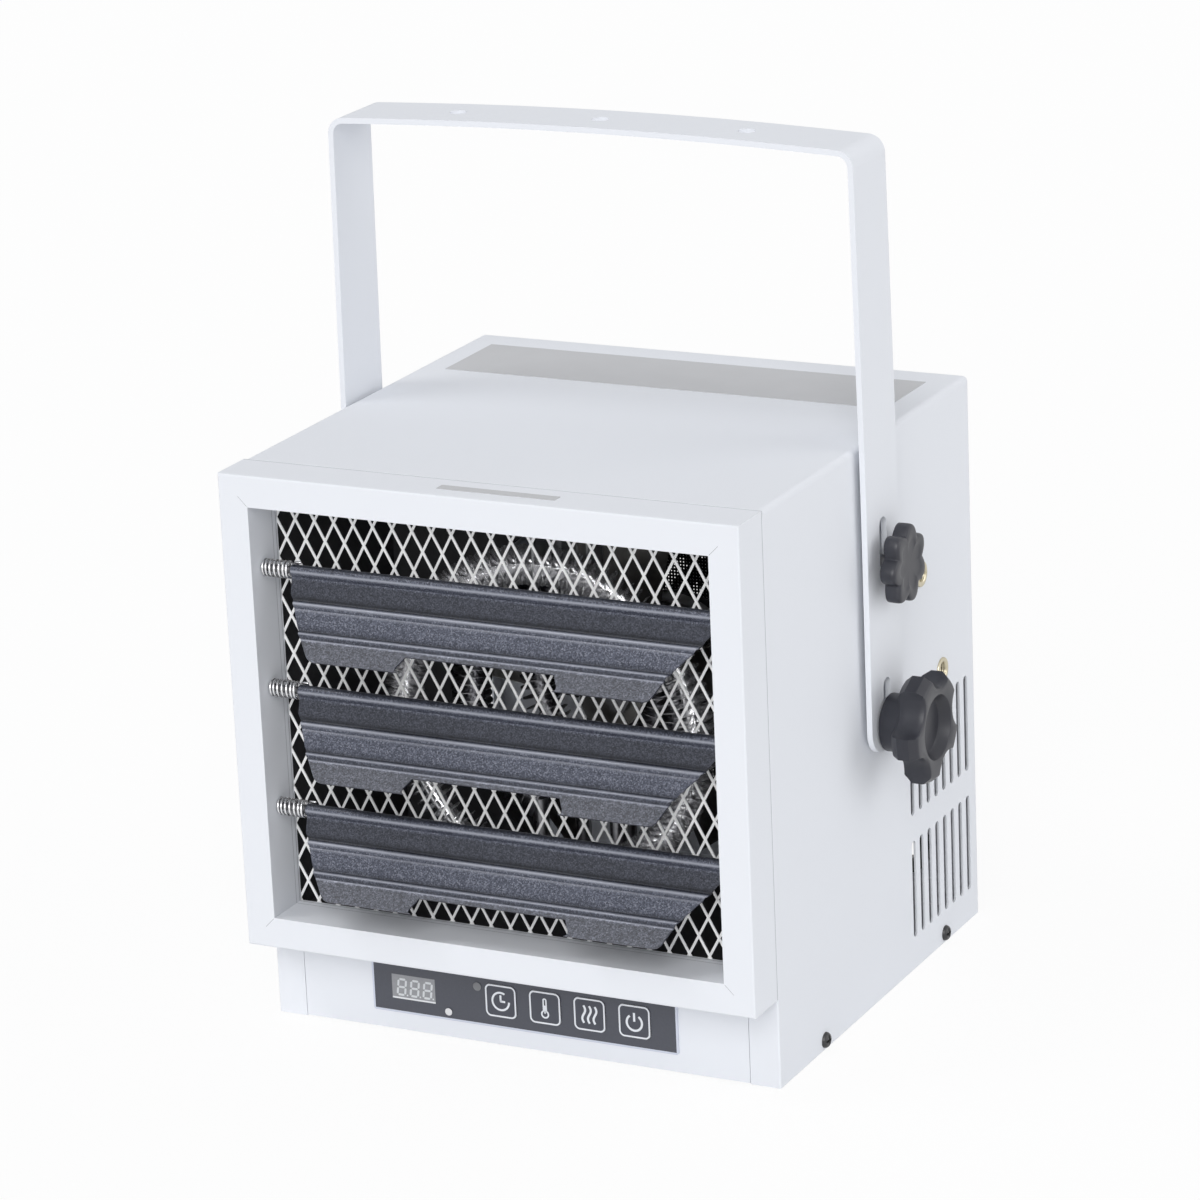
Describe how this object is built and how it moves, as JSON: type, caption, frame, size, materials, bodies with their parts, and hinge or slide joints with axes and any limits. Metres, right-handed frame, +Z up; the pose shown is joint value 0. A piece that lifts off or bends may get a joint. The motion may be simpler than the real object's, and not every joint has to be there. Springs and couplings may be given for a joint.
{
  "type": "garage heater",
  "caption": "Ceiling-hung electric fan heater: boxy steel housing, louvered mesh outlet, finned heating loops, key panel and a tilting U bracket clamped by knobs.",
  "frame": {"origin": "centre of the housing's base, on the surface it rests on", "axes": "+X to the heater's right as seen from its front, +Y from the outlet to the rear, +Z up towards the bracket's bar"},
  "size_m": [0.358, 0.3036, 0.46],
  "materials": {
    "housing_shell": "white powder coat",
    "front_bezel": "white powder coat",
    "control_fascia": "white powder coat",
    "mounting_bracket": "white powder coat",
    "base_pan": "white powder coat",
    "rear_panel": "white powder coat",
    "guard_mesh": "cream enamel",
    "keypad_overlay": "matt film",
    "display_window": "smoked",
    "heat_indicator": "clear lens",
    "remote_receiver": "dark lens",
    "control_board": "board laminate",
    "timer_button": "soft key",
    "temperature_button": "soft key",
    "mode_button": "soft key",
    "power_button": "soft key",
    "top_plate": "satin grey",
    "bezel_strip": "satin grey",
    "louver_blade_1": "metallic grey speckle",
    "louver_rod_1": "bright drawn",
    "louver_spring_1": "bright drawn",
    "louver_blade_2": "metallic grey speckle",
    "louver_rod_2": "bright drawn",
    "louver_spring_2": "bright drawn",
    "louver_blade_3": "metallic grey speckle",
    "louver_rod_3": "bright drawn",
    "louver_spring_3": "bright drawn",
    "rivet_nuts": "yellow zinc",
    "pivot_spacers": "nylon",
    "upper_knob_right": "fine grain",
    "upper_stud_right": "zinc",
    "upper_washer_right": "zinc",
    "lower_knob_right": "fine grain",
    "lower_stud_right": "zinc",
    "lower_washer_right": "zinc",
    "upper_knob_left": "fine grain",
    "upper_stud_left": "zinc",
    "upper_washer_left": "zinc",
    "lower_knob_left": "fine grain",
    "lower_stud_left": "zinc",
    "lower_washer_left": "zinc",
    "side_screws": "black oxide",
    "rear_screws": "black oxide",
    "fan_shroud": "dark",
    "air_duct": "dark",
    "motor_spider": "galvanised",
    "element_hanger": "galvanised",
    "fan_wheel": "mill",
    "fan_shaft": "ground",
    "fan_nut": "ground",
    "fan_motor": "satin black",
    "heating_loop_front": "oxidised",
    "heating_loop_middle": "oxidised",
    "heating_loop_rear": "oxidised",
    "element_bushes": "glazed insulator",
    "terminal_block": "moulded",
    "contactor": "moulded",
    "thermal_cutout": "moulded",
    "cable_gland": "nylon"
  },
  "bodies": {
    "housing": {"housing_shell": "housing_shell", "front_bezel": "front_bezel", "control_fascia": "control_fascia", "base_pan": "base_pan", "rear_panel": "rear_panel", "guard_mesh": "guard_mesh", "keypad_overlay": "keypad_overlay", "display_window": "display_window", "heat_indicator": "heat_indicator", "remote_receiver": "remote_receiver", "control_board": "control_board", "top_plate": "top_plate", "bezel_strip": "bezel_strip", "louver_spring_1": "louver_spring_1", "louver_spring_2": "louver_spring_2", "louver_spring_3": "louver_spring_3", "rivet_nuts": "rivet_nuts", "pivot_spacers": "pivot_spacers", "side_screws": "side_screws", "rear_screws": "rear_screws", "fan_shroud": "fan_shroud", "air_duct": "air_duct", "motor_spider": "motor_spider", "element_hanger": "element_hanger", "fan_motor": "fan_motor", "heating_loop_front": "heating_loop_front", "heating_loop_middle": "heating_loop_middle", "heating_loop_rear": "heating_loop_rear", "element_bushes": "element_bushes", "terminal_block": "terminal_block", "contactor": "contactor", "thermal_cutout": "thermal_cutout", "cable_gland": "cable_gland"},
    "louver_1": {"louver_blade_1": "louver_blade_1", "louver_rod_1": "louver_rod_1"},
    "louver_2": {"louver_blade_2": "louver_blade_2", "louver_rod_2": "louver_rod_2"},
    "louver_3": {"louver_blade_3": "louver_blade_3", "louver_rod_3": "louver_rod_3"},
    "bracket": {"mounting_bracket": "mounting_bracket"},
    "fan": {"fan_wheel": "fan_wheel", "fan_shaft": "fan_shaft", "fan_nut": "fan_nut"},
    "timer_key": {"timer_button": "timer_button"},
    "temperature_key": {"temperature_button": "temperature_button"},
    "mode_key": {"mode_button": "mode_button"},
    "power_key": {"power_button": "power_button"},
    "upper_carrier_right": {"upper_washer_right": "upper_washer_right"},
    "upper_turner_right": {"upper_knob_right": "upper_knob_right", "upper_stud_right": "upper_stud_right"},
    "lower_carrier_right": {"lower_washer_right": "lower_washer_right"},
    "lower_turner_right": {"lower_knob_right": "lower_knob_right", "lower_stud_right": "lower_stud_right"},
    "upper_carrier_left": {"upper_washer_left": "upper_washer_left"},
    "upper_turner_left": {"upper_knob_left": "upper_knob_left", "upper_stud_left": "upper_stud_left"},
    "lower_carrier_left": {"lower_washer_left": "lower_washer_left"},
    "lower_turner_left": {"lower_knob_left": "lower_knob_left", "lower_stud_left": "lower_stud_left"}
  },
  "joints": [
    {"name": "bracket_tilt", "type": "hinge", "parent": "housing", "child": "bracket", "pos_m": [0, 0, 0.153], "axis": [-1, 0, 0], "range_deg": [0, 90]},
    {"name": "louver_1_tilt", "type": "hinge", "parent": "housing", "child": "louver_1", "pos_m": [0, -0.1458, 0.2515], "axis": [-1, 0, 0], "range_deg": [-31, 59]},
    {"name": "louver_2_tilt", "type": "hinge", "parent": "housing", "child": "louver_2", "pos_m": [0, -0.1458, 0.187], "axis": [-1, 0, 0], "range_deg": [-31, 59]},
    {"name": "louver_3_tilt", "type": "hinge", "parent": "housing", "child": "louver_3", "pos_m": [0, -0.1458, 0.1225], "axis": [-1, 0, 0], "range_deg": [-31, 59]},
    {"name": "fan_spin", "type": "hinge", "parent": "housing", "child": "fan", "pos_m": [0, 0.0062, 0.15], "axis": [0, 1, 0], "continuous": true},
    {"name": "timer_press", "type": "slide", "parent": "housing", "child": "timer_key", "axis": [0, 1, 0], "range_m": [0, 0.0005], "stiffness_N_per_m": 2000},
    {"name": "temperature_press", "type": "slide", "parent": "housing", "child": "temperature_key", "axis": [0, 1, 0], "range_m": [0, 0.0005], "stiffness_N_per_m": 2000},
    {"name": "mode_press", "type": "slide", "parent": "housing", "child": "mode_key", "axis": [0, 1, 0], "range_m": [0, 0.0005], "stiffness_N_per_m": 2000},
    {"name": "power_press", "type": "slide", "parent": "housing", "child": "power_key", "axis": [0, 1, 0], "range_m": [0, 0.0005], "stiffness_N_per_m": 2000},
    {"name": "upper_travel_right", "type": "slide", "parent": "bracket", "child": "upper_carrier_right", "axis": [-1, 0, 0], "range_m": [0, 0.0046]},
    {"name": "upper_turn_right", "type": "hinge", "parent": "upper_carrier_right", "child": "upper_turner_right", "pos_m": [0, 0, 0.239], "axis": [-1, 0, 0], "range_deg": [0, 1320]},
    {"name": "lower_travel_right", "type": "slide", "parent": "housing", "child": "lower_carrier_right", "axis": [1, 0, 0], "range_m": [0, 0.00126]},
    {"name": "lower_turn_right", "type": "hinge", "parent": "lower_carrier_right", "child": "lower_turner_right", "pos_m": [0, 0, 0.153], "axis": [1, 0, 0], "range_deg": [0, 360]},
    {"name": "upper_travel_left", "type": "slide", "parent": "bracket", "child": "upper_carrier_left", "axis": [1, 0, 0], "range_m": [0, 0.0046]},
    {"name": "upper_turn_left", "type": "hinge", "parent": "upper_carrier_left", "child": "upper_turner_left", "pos_m": [0, 0, 0.239], "axis": [1, 0, 0], "range_deg": [0, 1320]},
    {"name": "lower_travel_left", "type": "slide", "parent": "housing", "child": "lower_carrier_left", "axis": [-1, 0, 0], "range_m": [0, 0.00126]},
    {"name": "lower_turn_left", "type": "hinge", "parent": "lower_carrier_left", "child": "lower_turner_left", "pos_m": [0, 0, 0.153], "axis": [-1, 0, 0], "range_deg": [0, 360]}
  ],
  "couplings": [
    {"joint": "upper_travel_right", "follows": "upper_turn_right", "m_per_rad": 0.00019894},
    {"joint": "lower_travel_right", "follows": "lower_turn_right", "m_per_rad": 0.00019894},
    {"joint": "upper_travel_left", "follows": "upper_turn_left", "m_per_rad": 0.00019894},
    {"joint": "lower_travel_left", "follows": "lower_turn_left", "m_per_rad": 0.00019894}
  ]
}
